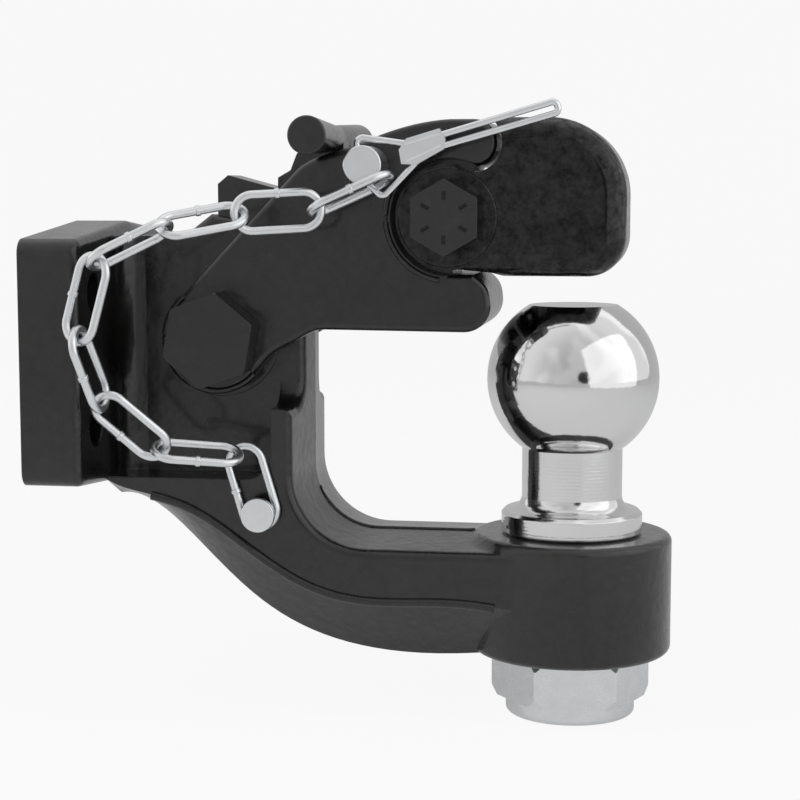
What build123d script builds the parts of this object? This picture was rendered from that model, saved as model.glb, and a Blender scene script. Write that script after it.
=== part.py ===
from build123d import *
import os
from math import cos, radians, sin, sqrt, tan

# Combination pintle hook and ball hitch, in millimetres.
# +X runs from the mounting face to the trailer, +Y away from the chain side, +Z up.
# The origin is the centre of the mounting plate's rear face.

# How far a cutting shape reaches past the wall it cuts, and one that is longer than any bore
CUT_PAST = 5.0
THROUGH = 400.0

# Clearances
RUNNING_GAP = 0.06
SIDE_GAP = 0.3
BOLT_HOLE_GAP = 0.1
WASHER_GAP = 0.2
THREAD_GAP = 0.02

# Mounting plate
PLATE_THICK = 20.0
PLATE_HALF_WIDTH = 60.0
PLATE_END_HALF_HEIGHT = 40.2
PLATE_MID_HALF_HEIGHT = 45.5
PLATE_CORNER_R = 5.0
PLATE_FRONT_EDGE_R = 2.6
MOUNT_HOLE_D = 13.5
MOUNT_PITCH_Y = 85.7
MOUNT_PITCH_Z = 44.45
WEB_ROOT_R = 9.0

# Hook body
WEB_HALF = 13.0
FLANGE_HALF = 30.0
FLANGE_THICK = 9.5
# The throat in the middle plane; its wall and floor fall away to both sides by the casting's draft
THROAT_X = 86.0
THROAT_FLOOR_Z = -61.6
THROAT_CORNER_R = 22.5
THROAT_DRAFT_DEG = 5.0
THROAT_EDGE_R = 3.0
FLANGE_TOP_Z = -17.0
FLANGE_TOP_BLEND_R = 9.0
POCKET_FLOOR_Z = -41.0
POCKET_CORNER_R = 9.0
RIM_ROOT = 8.0
BODY_JOIN = 1.0
NECK_TOP_Z = 40.5
NECK_TOP_BENDS = [(62.0, 46.5), (52.0, 48.0), (42.3, NECK_TOP_Z)]
NECK_TOP_EDGE_R = 3.0
ARM_RIDGE_Z = -81.0
ARM_KEEL_Z = -102.0
# The arm's ridge and keel from the plate to the level stretch, as (x, ridge z, keel z)
ARM_RUN = [
    (PLATE_THICK - BODY_JOIN, -42.0, -49.3),
    (37.5, -47.4, -56.8),
    (62.0, -59.0, -80.2),
    (84.5, -74.0, -94.9),
    (112.0, ARM_RIDGE_Z, ARM_KEEL_Z),
    (145.0, ARM_RIDGE_Z, ARM_KEEL_Z),
]

# Ball boss
BALL_X = 176.0
BOSS_R = 34.4
BOSS_TOP_Z = -61.0
BOSS_EDGE_R = 2.5
BOSS_BLEND_R = 6.0

# Jaw pivot
PIVOT_X, PIVOT_Z = 56.0, 6.0
PIVOT_BOSS_R = 20.4
PIVOT_BOSS_HALF = 14.5
PIVOT_BOLT_D = 19.05
PIVOT_HEAD_AF = 28.58
PIVOT_HEAD_H = 11.5
PIVOT_HEAD_TURN = 20.0
PIVOT_NUT_H = 16.0
PIVOT_WASHER_T = 3.0
PIVOT_WASHER_D = 36.0
BOLT_PROUD = 3.0
BOLT_CHAMFER = 1.2
HEX_TURN = 30.0
HEAD_LIP_SHARE = 0.6
HEAD_LIP_SLOPE = 0.56
NECK_R = 30.0

# Upper jaw
JAW_OPEN_DEG = 48.0
JAW_HALF = 22.5
JAW_EAR_R = 18.5
JAW_EAR_TOP_DEG = 137.0
JAW_EAR_REAR_DEG = 200.0
JAW_EAR_LOW_DEG = 285.0
JAW_FLOOR_Z = 9.0
JAW_TOP_Z = 79.5
JAW_UNDER_SLOPE = (-1.0, -0.05)
JAW_UNDER_BENDS = [(93.0, JAW_FLOOR_Z + 0.4), (84.5, 6.0), (75.0, 0.6)]
JAW_BACK_BENDS = [(83.8, 62.4), (95.0, 68.3), (107.8, 72.4), (119.5, 76.7), (136.0, JAW_TOP_Z)]
JAW_BACK_SLOPES = [(0.68, 0.73), (0.95, 0.35), (0.9, 0.43), (1.0, 0.05)]
JAW_LIP_X = 143.8
JAW_LIP_R = 7.8
JAW_SOCKET_BACK_X = 136.0
JAW_TAB_X = 149.7
JAW_TAB_TOP_Z = 28.3
JAW_TAB_BEND = (148.6, 23.6)
JAW_TAB_SLOPES = [(0.8, -0.6), (0.05, -1.0)]
JAW_TAB_LOW_Z = 18.0
JAW_TAB_HEEL_X = 140.7
JAW_TAB_TOP_X = 144.0
JAW_EDGE_R = 2.0
CHANNEL_R_GAP = 1.1
CHANNEL_FLOOR_DEG = 13.0
CHANNEL_BACK_DEG = 180.0
CHANNEL_REAR_DEG = 225.0
CHANNEL_REAR_SPREAD = 1.2
CHANNEL_LOW_DEG = 290.0
CHANNEL_LOW_SPREAD = 1.5
CHANNEL_FRONT_DEG = 320.0
CATCH_SWEEP_GAP = 3.0

# Body catch that the lock lever bears on
CATCH_HALF = 9.0
CATCH_REAR_X = 53.9
CATCH_REAR_DROP = 3.0
CATCH_TOP_REAR = (57.5, 61.3)
CATCH_TOP_FRONT = (73.9, 56.9)
CATCH_RAMP_RUN = 5.0
CATCH_RAMP_DEG = 40.0
CATCH_GAP = 0.35
CATCH_FRONT_DEG = 62.0

# Nose and its bolt
NOSE_BOLT_X, NOSE_BOLT_Z = 135.6, 47.3
NOSE_BOLT_D = 14.0
NOSE_HEAD_AF = 22.0
NOSE_HEAD_H = 9.0
NOSE_HEAD_TURN = 30.0
NOSE_NUT_H = 12.8
NOSE_WASHER_T = 2.5
NOSE_WASHER_D = 28.0
NOSE_HALF = 25.0
NOSE_PAD_R = 16.6
NOSE_PAD_PROUD = 1.2
NOSE_PAD_EDGE_R = 0.8
NOSE_EAR_R = 17.5
NOSE_GAP = 1.9
NOSE_REAR_X = 138.0
NOSE_FRONT_X = 194.2
NOSE_TOP_Z = 80.2
NOSE_UNDER_Z = 27.7
NOSE_UNDER_STEP = 1.2
NOSE_UNDER_STEP_X = 154.0
NOSE_UNDER_STEP_BACK_X = 150.0
NOSE_ROOT_TOP_Z = 62.0
NOSE_TOP_R = 26.0
NOSE_UNDER_R = 13.0
NOSE_EDGE_R = 8.0
TONGUE_HALF = 13.2
TONGUE_R = 16.8
TONGUE_END_GAP = 1.1

# Lock lever with its cross handle
LEVER_LIFT_RATIO = 0.36
LEVER_LIFT_DEG = LEVER_LIFT_RATIO * JAW_OPEN_DEG
LEVER_HALF = 5.0
LEVER_SIDE_GAP = 0.5
LEVER_HUB_R = 12.0
LEVER_HUB_GAP = 1.0
LEVER_PIN_GAP = 0.7
LEVER_CUP_HALF = 9.0
LEVER_CUP_STEPS = 5
LEVER_FOOT_LENGTH = 9.0
LEVER_ARM_TOP_Z = 47.8
LEVER_HUB_FLAT = 2.0
LEVER_HUB_RISE = [(126.6, 54.3), (114.0, LEVER_ARM_TOP_Z)]
LEVER_STEM_STEP = 3.5
LEVER_STEM_REAR = [(80.8, 68.6), (78.6, 63.0), (74.2, 60.5)]
LEVER_BELLY = [(96.0, 39.0), (112.0, 36.0)]
SLOT_LOW_Z = 34.0
SLOT_REAR_X = 75.0
SLOT_HUB_TOP = 10.0
SLOT_ROOF_RUN = 9.0
HANDLE_X, HANDLE_Z = 92.6, 73.8
HANDLE_HALF = 45.5
HANDLE_END_R = 6.35
HANDLE_MID_R = 4.6
HANDLE_EDGE_R = 0.8
SPRING_X = 121.5
SPRING_OD = 8.6
SPRING_WIRE = 1.2
SPRING_TURNS = 6
SPRING_SEAT_Z = 48.8
SPRING_SEAT_GAP = 0.2
SPRING_END_GAP = 0.15
ROOF_REAR_X = 117.0
ROOF_UNDER_Z = 70.5

# Safety pin with its wire bail
PIN_X, PIN_Z = 109.4, 64.3
PIN_D = 12.7
PIN_NEAR_Y = -38.0
PIN_FAR_Y = 31.0
PIN_CHAMFER = 1.0
PIN_END_R = 0.6
PIN_BORE_GAP = 0.08
BAIL_Y = -34.0
BAIL_WIRE = 2.2
BAIL_HOLE_GAP = 0.3
# The bail's bends, from the pin's upper hole mouth round the tip to the lower one, as (x, z)
BAIL_BENDS = [
    (107.7, 69.0), (106.3, 73.6), (123.0, 71.2), (134.8, 73.9), (171.8, 84.6), (172.9, 81.0),
    (135.6, 70.4), (127.2, 65.6), (115.6, 53.6), (111.4, 57.7), (110.6, 60.2),
]
BAIL_BEND_R = [2.0, 6.0, 6.0, 1.6, 1.6, 6.0, 8.0, 2.2, 2.0]
CLIP_OUTLINE = [
    (121.2, 69.2), (123.6, 72.8), (134.4, 76.0), (136.4, 72.6), (136.0, 69.4), (127.0, 64.4), (122.0, 64.6),
]
CLIP_HALF = 1.9

# Tow ball and its nut
BALL_D = 58.74
BALL_Z = -7.8
BALL_FLAT_UP = 25.2
BALL_NECK_D = 34.4
BALL_NECK_BLEND_R = 5.0
BALL_FLANGE_D = 48.4
BALL_FLANGE_H = 8.0
BALL_FLANGE_TOP_EDGE = 1.2
BALL_FLANGE_LOW_EDGE = 0.8
BALL_SHANK_D = 31.75
BALL_SHANK_END_Z = -124.5
BALL_SHANK_CHAMFER = 1.5
BALL_SHANK_GAP = 0.1
BALL_NUT_AF = 47.6
BALL_NUT_H = 16.0
BALL_NUT_TURN = 8.0
BALL_NUT_TRIM = 0.2
BALL_NUT_LIP = (3.0, 1.6)
BALL_COLLAR_D = 44.6
BALL_COLLAR_H = 6.0
BALL_COLLAR_EDGE_R = 1.6
BALL_INSERT_H = 3.0
BALL_INSERT_WALL = 3.2

# Safety chain
LINK_WIRE = 2.8
LINK_LENGTH = 31.0
LINK_PLAY = 0.6
LINK_WIDTH = 14.6
LINK_WELD_D = 3.5
LINK_WELD_LENGTH = 1.6
LINK_WELD_EDGE_R = 0.3
# Points midway between two links, from the bail to the last link but one, and each link's roll.
# They are drawn for one half width of the arm and follow the anchor, more so towards it.
CHAIN_ARM_HALF = 30.0
CHAIN_POINTS = [
    (116.6, -34.8, 60.0), (94.7, -40.2, 49.9), (71.0, -47.3, 48.6), (48.8, -57.6, 44.3), (28.7, -67.0, 33.7),
    (22.2, -67.0, 9.9), (26.8, -57.1, -12.3), (43.8, -49.8, -28.6), (67.0, -41.5, -31.0),
]
CHAIN_ROLLS = [79.0, 3.0, -53.0, 74.0, -25.0, 82.0, -21.0, 71.0]
ANCHOR_LINK_Y = -FLANGE_HALF - 2.6
ANCHOR_LINK_LEAN = 16.5
ANCHOR_X, ANCHOR_Z = 73.5, -51.9
ANCHOR_D = 6.0
ANCHOR_DEPTH = 12.0
ANCHOR_HEAD_D = 11.5
ANCHOR_HEAD_H = 2.2
ANCHOR_HEAD_Y = -FLANGE_HALF - 7.8
ANCHOR_HEAD_EDGE_R = 0.5

# How near two places count as the same when edges are picked
SAME = 0.01


def face_xz(edges):
    """A closed outline, drawn as (x, z), in the part's middle plane."""
    return Plane.XZ * make_face(edges)


def polygon(*points):
    return face_xz(Polyline(*points, close=True).edges())


def circle_xz(x, z, radius):
    return Pos(x, 0, z) * (Plane.XZ * Circle(radius))


def prism(face, y_from, y_to):
    """An outline carried from one Y to another."""
    return extrude(Pos(0, y_from, 0) * face, amount=y_to - y_from, dir=(0, 1, 0))


def slab(face, half):
    return prism(face, -half, half)


def rod(x, z, diameter, y_from, y_to):
    return prism(circle_xz(x, z, diameter / 2), y_from, y_to)


def bore(x, z, diameter):
    """A cut along Y through everything."""
    return rod(x, z, diameter, -THROUGH, THROUGH)


def ring(x, z, outer_d, inner_d, y_from, y_to):
    return rod(x, z, outer_d, y_from, y_to) - bore(x, z, inner_d)


def polar(radius, angle):
    """A point of the XZ plane at an angle about the jaw pivot."""
    return (PIVOT_X + radius * cos(radians(angle)), PIVOT_Z + radius * sin(radians(angle)))


def turned(shape, degrees_up, x, z):
    """A shape turned about a Y axis through a point, from +X towards +Z."""
    return Pos(x, 0, z) * (Rot(0, -degrees_up, 0) * (Pos(-x, 0, -z) * shape))


def side_edges(solid, half):
    """The edges that lie in either side face."""
    return solid.edges().filter_by(
        lambda edge: abs(abs(edge.center().Y) - half) < SAME and edge.bounding_box().size.Y < SAME
    )


def hex_head(across_flats, height, turn):
    """A hexagon along +Z from the origin, its corners turned down to a cone at the top."""
    corner_r = across_flats / sqrt(3)
    lip = (corner_r - across_flats / 2) * HEAD_LIP_SHARE + BODY_JOIN
    blank = Pos(0, 0, height / 2) * Cylinder(corner_r + BODY_JOIN, height)
    blank = chamfer(blank.edges().sort_by(Axis.Z)[-1], lip, lip * HEAD_LIP_SLOPE)
    return extrude(RegularPolygon(corner_r, 6, rotation=turn), height) & blank


def bolt(x, z, diameter, seat_y, head, end_y):
    """A bolt along Y: its head stands on the chain side, its end shows beyond the nut."""
    shank = rod(x, z, diameter, seat_y - BODY_JOIN, end_y)
    shank = chamfer(shank.edges().sort_by(Axis.Y)[-1], BOLT_CHAMFER)
    return shank + Pos(x, seat_y, z) * (Rot(90, 0, 0) * head)


def nut(across_flats, height, thread_d, x, seat_y, z):
    blank = Pos(x, seat_y, z) * (Rot(-90, 0, 0) * hex_head(across_flats, height, HEX_TURN))
    return blank - bore(x, z, thread_d + 2 * THREAD_GAP)


def make_plate():
    half, end, middle = PLATE_HALF_WIDTH, PLATE_END_HALF_HEIGHT, PLATE_MID_HALF_HEIGHT
    corners = [(-half, -end), (0, -middle), (half, -end), (half, end), (0, middle), (-half, end)]
    plate = extrude(Plane.YZ * make_face(Polyline(*corners, close=True).edges()), PLATE_THICK)
    ends = plate.edges().filter_by(Axis.X).filter_by(lambda edge: abs(edge.center().Y) > half - SAME)
    plate = fillet(ends, PLATE_CORNER_R)
    return fillet(plate.faces().sort_by(Axis.X)[-1].edges(), PLATE_FRONT_EDGE_R)


def mount_holes():
    hole = Rot(0, 90, 0) * Cylinder(MOUNT_HOLE_D / 2, 2 * PLATE_THICK + CUT_PAST)
    return [Pos(0, y * MOUNT_PITCH_Y / 2, z * MOUNT_PITCH_Z / 2) * hole for y in (-1, 1) for z in (-1, 1)]


def arm_section(x, ridge_z, keel_z):
    """The arm across X: upright sides down to the ridge, then sloping in to the keel."""
    one_side = [(FLANGE_HALF, POCKET_FLOOR_Z), (FLANGE_HALF, ridge_z), (WEB_HALF, keel_z)]
    other_side = [(-y, z) for y, z in reversed(one_side)]
    return Plane.YZ.offset(x) * make_face(Polyline(*one_side, *other_side, close=True).edges())


def throat_face():
    """The free space of the hook, open upwards and towards the trailer."""
    corner = THROAT_CORNER_R
    floor_start = (THROAT_X + corner, THROAT_FLOOR_Z)
    wall_start = (THROAT_X, THROAT_FLOOR_Z + corner)
    far_x = BALL_X + BOSS_R + CUT_PAST
    edges = [
        Line((far_x, THROAT_FLOOR_Z), floor_start),
        TangentArc(floor_start, wall_start, tangent=(-1, 0)),
        Polyline(wall_start, (THROAT_X, JAW_TOP_Z), (far_x, JAW_TOP_Z), (far_x, THROAT_FLOOR_Z)),
    ]
    return face_xz(Curve(edges).edges())


def rim_face():
    """The upright rim behind the throat, with the round corner of the side pocket."""
    inner_x, corner = THROAT_X - FLANGE_THICK, POCKET_CORNER_R
    outer_x = THROAT_X + BODY_JOIN
    wall_end = (inner_x, POCKET_FLOOR_Z + corner)
    floor_end = (inner_x - corner, POCKET_FLOOR_Z)
    low_z = POCKET_FLOOR_Z - RIM_ROOT
    top = (inner_x, FLANGE_TOP_Z)
    edges = [
        Line(top, wall_end),
        TangentArc(wall_end, floor_end, tangent=(0, -1)),
        Polyline(floor_end, (floor_end[0], low_z), (outer_x, low_z), (outer_x, FLANGE_TOP_Z), top),
    ]
    return face_xz(Curve(edges).edges())


def web_face():
    """The middle wall above the arm, the round neck under the jaw, and the neck's top."""
    shoulder = polar(NECK_R, CATCH_FRONT_DEG)
    low_z = POCKET_FLOOR_Z - RIM_ROOT
    rear_x = PLATE_THICK - BODY_JOIN
    edges = [
        Polyline((rear_x, low_z), (THROAT_X, low_z), (THROAT_X, PIVOT_Z)),
        ThreePointArc((PIVOT_X + NECK_R, PIVOT_Z), polar(NECK_R, CATCH_FRONT_DEG / 2), shoulder),
        Polyline(shoulder, *NECK_TOP_BENDS, (rear_x, NECK_TOP_Z), (rear_x, low_z)),
    ]
    return face_xz(Curve(edges).edges())


def catch_face():
    """The tab that the lock lever bears on, with a ramp at its front."""
    front_x, front_z = CATCH_TOP_FRONT
    return polygon(
        (CATCH_REAR_X, NECK_TOP_Z),
        (CATCH_REAR_X, CATCH_TOP_REAR[1] - CATCH_REAR_DROP),
        CATCH_TOP_REAR,
        CATCH_TOP_FRONT,
        (front_x + CATCH_RAMP_RUN, front_z - CATCH_RAMP_RUN * tan(radians(CATCH_RAMP_DEG))),
        polar(NECK_R - BODY_JOIN, CATCH_FRONT_DEG),
    )


def rim_top_roots(body):
    """Where the rim's upper end meets the middle wall, on both sides."""
    on_wall = body.edges().filter_by(Axis.X).filter_by(
        lambda edge: abs(abs(edge.center().Y) - WEB_HALF) < SAME
    )
    return on_wall.filter_by(lambda edge: abs(edge.center().Z - FLANGE_TOP_Z) < SAME)


def on_throat(point):
    """Whether a point lies on the throat's drafted wall, corner or floor."""
    fall = abs(point.Y) * tan(radians(THROAT_DRAFT_DEG))
    centre_x, centre_z = THROAT_X + THROAT_CORNER_R, THROAT_FLOOR_Z + THROAT_CORNER_R
    if point.Z > centre_z:
        return abs(point.X - THROAT_X + fall) < SAME
    if point.X > centre_x:
        return abs(point.Z - THROAT_FLOOR_Z + fall) < SAME
    return abs(sqrt((point.X - centre_x) ** 2 + (point.Z - centre_z) ** 2) - THROAT_CORNER_R - fall) < SAME


def throat_rims(body):
    """The edges all round the throat's wall and floor, from the neck over the rim's end to the boss."""
    outer = body.edges().filter_by(lambda edge: abs((edge @ 0.5).Y) > WEB_HALF - SAME)
    lower = outer.filter_by(lambda edge: (edge @ 0.5).Z < PIVOT_Z + NECK_R / 2)
    rims = lower.filter_by(lambda edge: all(on_throat(edge @ share) for share in (0, 0.3, 0.6, 1)))
    return rims.filter_by(lambda edge: abs((edge @ 0).Y) > SAME and abs((edge @ 1).Y) > SAME)


def web_roots(body):
    """The upright corners between the plate and the middle wall."""
    return body.edges().filter_by(Axis.Z).filter_by(
        lambda edge: abs(edge.center().X - PLATE_THICK) < SAME and abs(abs(edge.center().Y) - WEB_HALF) < SAME
    )


def boss_roots(body):
    """The upright corners between the ball's boss and the arm's sides."""
    def on_boss(point):
        return abs(sqrt((point.X - BALL_X) ** 2 + point.Y ** 2) - BOSS_R) < SAME

    return body.edges().filter_by(Axis.Z).filter_by(
        lambda edge: on_boss(edge.center()) and abs(abs(edge.center().Y) - FLANGE_HALF) < SAME
    )


def neck_top_edges(wall):
    """The side edges of the neck's slope up to the catch."""
    upper = side_edges(wall, WEB_HALF).filter_by(lambda edge: edge.center().Z > NECK_TOP_Z + SAME)
    return upper.filter_by(lambda edge: edge.bounding_box().max.X < NECK_TOP_BENDS[0][0] + SAME)


def make_hitch_body():
    level_end = (BALL_X, ARM_RIDGE_Z, ARM_KEEL_Z)
    arm = loft([arm_section(*station) for station in [*ARM_RUN, level_end]])
    wall = slab(web_face(), WEB_HALF)
    wall = fillet(neck_top_edges(wall), NECK_TOP_EDGE_R)
    throat = extrude(throat_face(), FLANGE_HALF + CUT_PAST, dir=(0, 1, 0), taper=-THROAT_DRAFT_DEG)
    arm = arm + slab(rim_face(), FLANGE_HALF) + wall - throat - mirror(throat, about=Plane.XZ)
    body = make_plate() + arm
    body = fillet(rim_top_roots(body), FLANGE_TOP_BLEND_R)
    body = fillet(web_roots(body), WEB_ROOT_R)
    body = fillet(throat_rims(body), THROAT_EDGE_R)
    boss = Pos(BALL_X, 0, (BOSS_TOP_Z + ARM_KEEL_Z) / 2) * Cylinder(BOSS_R, BOSS_TOP_Z - ARM_KEEL_Z)
    body += fillet(boss.edges().filter_by(GeomType.CIRCLE), BOSS_EDGE_R)
    body = fillet(boss_roots(body), BOSS_BLEND_R)
    body += slab(catch_face(), CATCH_HALF)
    body += slab(circle_xz(PIVOT_X, PIVOT_Z, PIVOT_BOSS_R), PIVOT_BOSS_HALF)
    body -= bore(PIVOT_X, PIVOT_Z, PIVOT_BOLT_D + 2 * RUNNING_GAP)
    body -= rod(ANCHOR_X, ANCHOR_Z, ANCHOR_D, -FLANGE_HALF - CUT_PAST, ANCHOR_DEPTH - FLANGE_HALF)
    body -= Pos(BALL_X, 0, 0) * Cylinder(BALL_SHANK_D / 2 + BALL_SHANK_GAP, THROUGH)
    return body - mount_holes()


def jaw_face():
    """The jaw's side outline; its socket for the nose is cut afterwards."""
    ear_top, ear_low = polar(JAW_EAR_R, JAW_EAR_TOP_DEG), polar(JAW_EAR_R, JAW_EAR_LOW_DEG)
    ear_rear = polar(JAW_EAR_R, JAW_EAR_REAR_DEG)
    back, slopes = JAW_BACK_BENDS, JAW_BACK_SLOPES
    leaving_ear = (-cos(radians(JAW_EAR_LOW_DEG - 270)), -sin(radians(JAW_EAR_LOW_DEG - 270)))
    lip_top, lip_low = (JAW_LIP_X, JAW_TOP_Z), (JAW_LIP_X, JAW_TOP_Z - 2 * JAW_LIP_R)
    tab_top, tab_low = (JAW_TAB_TOP_X, JAW_TAB_TOP_Z), (JAW_TAB_X, JAW_TAB_LOW_Z)
    heel = (JAW_TAB_HEEL_X, JAW_FLOOR_Z)
    edges = [
        Spline(*JAW_UNDER_BENDS, ear_low, tangents=[JAW_UNDER_SLOPE, leaving_ear]),
        ThreePointArc(ear_low, ear_rear, ear_top),
        Line(ear_top, back[0]),
        Spline(*back[:3], tangents=slopes[:2]),
        Spline(*back[2:], tangents=slopes[2:]),
        Line(back[-1], lip_top),
        ThreePointArc(lip_top, (JAW_LIP_X + JAW_LIP_R, JAW_TOP_Z - JAW_LIP_R), lip_low),
        Polyline(lip_low, (JAW_SOCKET_BACK_X, NOSE_BOLT_Z), (JAW_SOCKET_BACK_X, JAW_TAB_TOP_Z), tab_top),
        Spline(tab_top, JAW_TAB_BEND, tab_low, tangents=JAW_TAB_SLOPES),
        TangentArc(tab_low, heel, tangent=(0, -1)),
        Line(heel, JAW_UNDER_BENDS[0]),
    ]
    return face_xz(Curve(edges).edges())


def channel_face():
    """The space between the jaw's side plates, which swings over the neck and the catch."""
    near = NECK_R + CHANNEL_R_GAP
    reach = sqrt((CATCH_TOP_REAR[0] - PIVOT_X) ** 2 + (CATCH_TOP_REAR[1] - PIVOT_Z) ** 2)
    far, floor = reach + CATCH_SWEEP_GAP, CHANNEL_FLOOR_DEG
    back, front = polar(far, CHANNEL_BACK_DEG), polar(near, CHANNEL_FRONT_DEG)
    rear = polar(far * CHANNEL_REAR_SPREAD, CHANNEL_REAR_DEG)
    low = polar(near * CHANNEL_LOW_SPREAD, CHANNEL_LOW_DEG)
    edges = [
        Line(polar(near, floor), polar(far, floor)),
        ThreePointArc(polar(far, floor), polar(far, (floor + CHANNEL_BACK_DEG) / 2), back),
        Polyline(back, rear, low, front),
        ThreePointArc(front, polar(near, (CHANNEL_FRONT_DEG - 360 + floor) / 2), polar(near, floor)),
    ]
    return face_xz(Curve(edges).edges())


def lever_slot():
    """What the lever and its handle's stem sweep inside the jaw, with their side clearance."""
    half = LEVER_HALF + LEVER_SIDE_GAP
    above = JAW_TOP_Z + CUT_PAST
    arm = polygon(
        (NOSE_BOLT_X, SLOT_LOW_Z),
        (NOSE_BOLT_X, NOSE_BOLT_Z + SLOT_HUB_TOP),
        (ROOF_REAR_X + SLOT_ROOF_RUN, ROOF_UNDER_Z),
        (ROOF_REAR_X, ROOF_UNDER_Z),
        (ROOF_REAR_X, above),
        (SLOT_REAR_X, above),
        (SLOT_REAR_X, SLOT_LOW_Z),
    )
    return slab(circle_xz(NOSE_BOLT_X, NOSE_BOLT_Z, LEVER_HUB_R + LEVER_HUB_GAP), half) + slab(arm, half)


def make_upper_jaw():
    jaw = slab(jaw_face(), JAW_HALF)
    jaw = fillet(side_edges(jaw, JAW_HALF), JAW_EDGE_R)
    socket = circle_xz(NOSE_BOLT_X, NOSE_BOLT_Z, NOSE_EAR_R + NOSE_GAP)
    jaw -= prism(socket, -JAW_HALF - CUT_PAST, -TONGUE_HALF)
    jaw -= prism(socket, TONGUE_HALF, JAW_HALF + CUT_PAST)
    jaw += slab(circle_xz(NOSE_BOLT_X, NOSE_BOLT_Z, TONGUE_R), TONGUE_HALF)
    jaw -= slab(channel_face(), PIVOT_BOSS_HALF + SIDE_GAP)
    jaw -= lever_slot()
    jaw -= bore(PIVOT_X, PIVOT_Z, PIVOT_BOLT_D + 2 * RUNNING_GAP)
    jaw -= bore(NOSE_BOLT_X, NOSE_BOLT_Z, NOSE_BOLT_D + 2 * BOLT_HOLE_GAP)
    return jaw - bore(PIN_X, PIN_Z, PIN_D + 2 * PIN_BORE_GAP)


def nose_face():
    top_start = (NOSE_FRONT_X - NOSE_TOP_R, NOSE_TOP_Z)
    top_end = (NOSE_FRONT_X, NOSE_TOP_Z - NOSE_TOP_R)
    under_start = (NOSE_FRONT_X, NOSE_UNDER_Z + NOSE_UNDER_R)
    under_end = (NOSE_FRONT_X - NOSE_UNDER_R, NOSE_UNDER_Z)
    edges = [
        Line((JAW_LIP_X, NOSE_TOP_Z), top_start),
        TangentArc(top_start, top_end, tangent=(1, 0)),
        Line(top_end, under_start),
        TangentArc(under_start, under_end, tangent=(0, -1)),
        Polyline(
            under_end,
            (NOSE_UNDER_STEP_X, NOSE_UNDER_Z),
            (NOSE_UNDER_STEP_BACK_X, NOSE_UNDER_Z + NOSE_UNDER_STEP),
            (NOSE_REAR_X, NOSE_UNDER_Z + 2 * NOSE_UNDER_STEP),
            (NOSE_REAR_X, NOSE_ROOT_TOP_Z),
            (JAW_LIP_X, NOSE_ROOT_TOP_Z),
            (JAW_LIP_X, NOSE_TOP_Z),
        ),
    ]
    return face_xz(Curve(edges).edges())


def make_jaw_nose():
    half = NOSE_HALF - NOSE_PAD_PROUD
    nose = slab(nose_face(), half)
    front_edges = side_edges(nose, half).filter_by(lambda edge: edge.center().X > NOSE_UNDER_STEP_X)
    nose = fillet(front_edges, NOSE_EDGE_R)
    nose += slab(circle_xz(NOSE_BOLT_X, NOSE_BOLT_Z, NOSE_EAR_R), half)
    pad = slab(circle_xz(NOSE_BOLT_X, NOSE_BOLT_Z, NOSE_PAD_R), NOSE_HALF)
    nose += fillet(side_edges(pad, NOSE_HALF), NOSE_PAD_EDGE_R)
    nose -= slab(circle_xz(JAW_LIP_X, JAW_TOP_Z - JAW_LIP_R, JAW_LIP_R + NOSE_GAP), NOSE_HALF + CUT_PAST)
    inner, front_x = TONGUE_HALF + SIDE_GAP, JAW_LIP_X + JAW_LIP_R + NOSE_GAP
    behind = polygon((0, 0), (front_x, 0), (front_x, NOSE_TOP_Z + CUT_PAST), (0, NOSE_TOP_Z + CUT_PAST))
    nose -= slab(circle_xz(NOSE_BOLT_X, NOSE_BOLT_Z, TONGUE_R + TONGUE_END_GAP), inner)
    nose -= slab(behind, inner)
    return nose - bore(NOSE_BOLT_X, NOSE_BOLT_Z, NOSE_BOLT_D + 2 * BOLT_HOLE_GAP)


def lever_face():
    """The lock lever's side outline: hub, arm, the cup under the safety pin, stem and foot."""
    ramp = radians(CATCH_RAMP_DEG)
    heel = (CATCH_TOP_FRONT[0] + CATCH_GAP * sin(ramp), CATCH_TOP_FRONT[1] + CATCH_GAP * cos(ramp))
    toe = (heel[0] + LEVER_FOOT_LENGTH * cos(ramp), heel[1] - LEVER_FOOT_LENGTH * sin(ramp))
    stem_front = HANDLE_X + HANDLE_MID_R
    body = polygon(
        (NOSE_BOLT_X, NOSE_BOLT_Z - LEVER_HUB_R),
        (NOSE_BOLT_X, NOSE_BOLT_Z + LEVER_HUB_R - LEVER_HUB_FLAT),
        *LEVER_HUB_RISE,
        (stem_front + LEVER_STEM_STEP, LEVER_ARM_TOP_Z),
        (stem_front, LEVER_ARM_TOP_Z + LEVER_STEM_STEP),
        (stem_front, HANDLE_Z),
        (HANDLE_X - HANDLE_MID_R, HANDLE_Z),
        *LEVER_STEM_REAR,
        heel,
        toe,
        *LEVER_BELLY,
    )
    return body + circle_xz(NOSE_BOLT_X, NOSE_BOLT_Z, LEVER_HUB_R)


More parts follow.
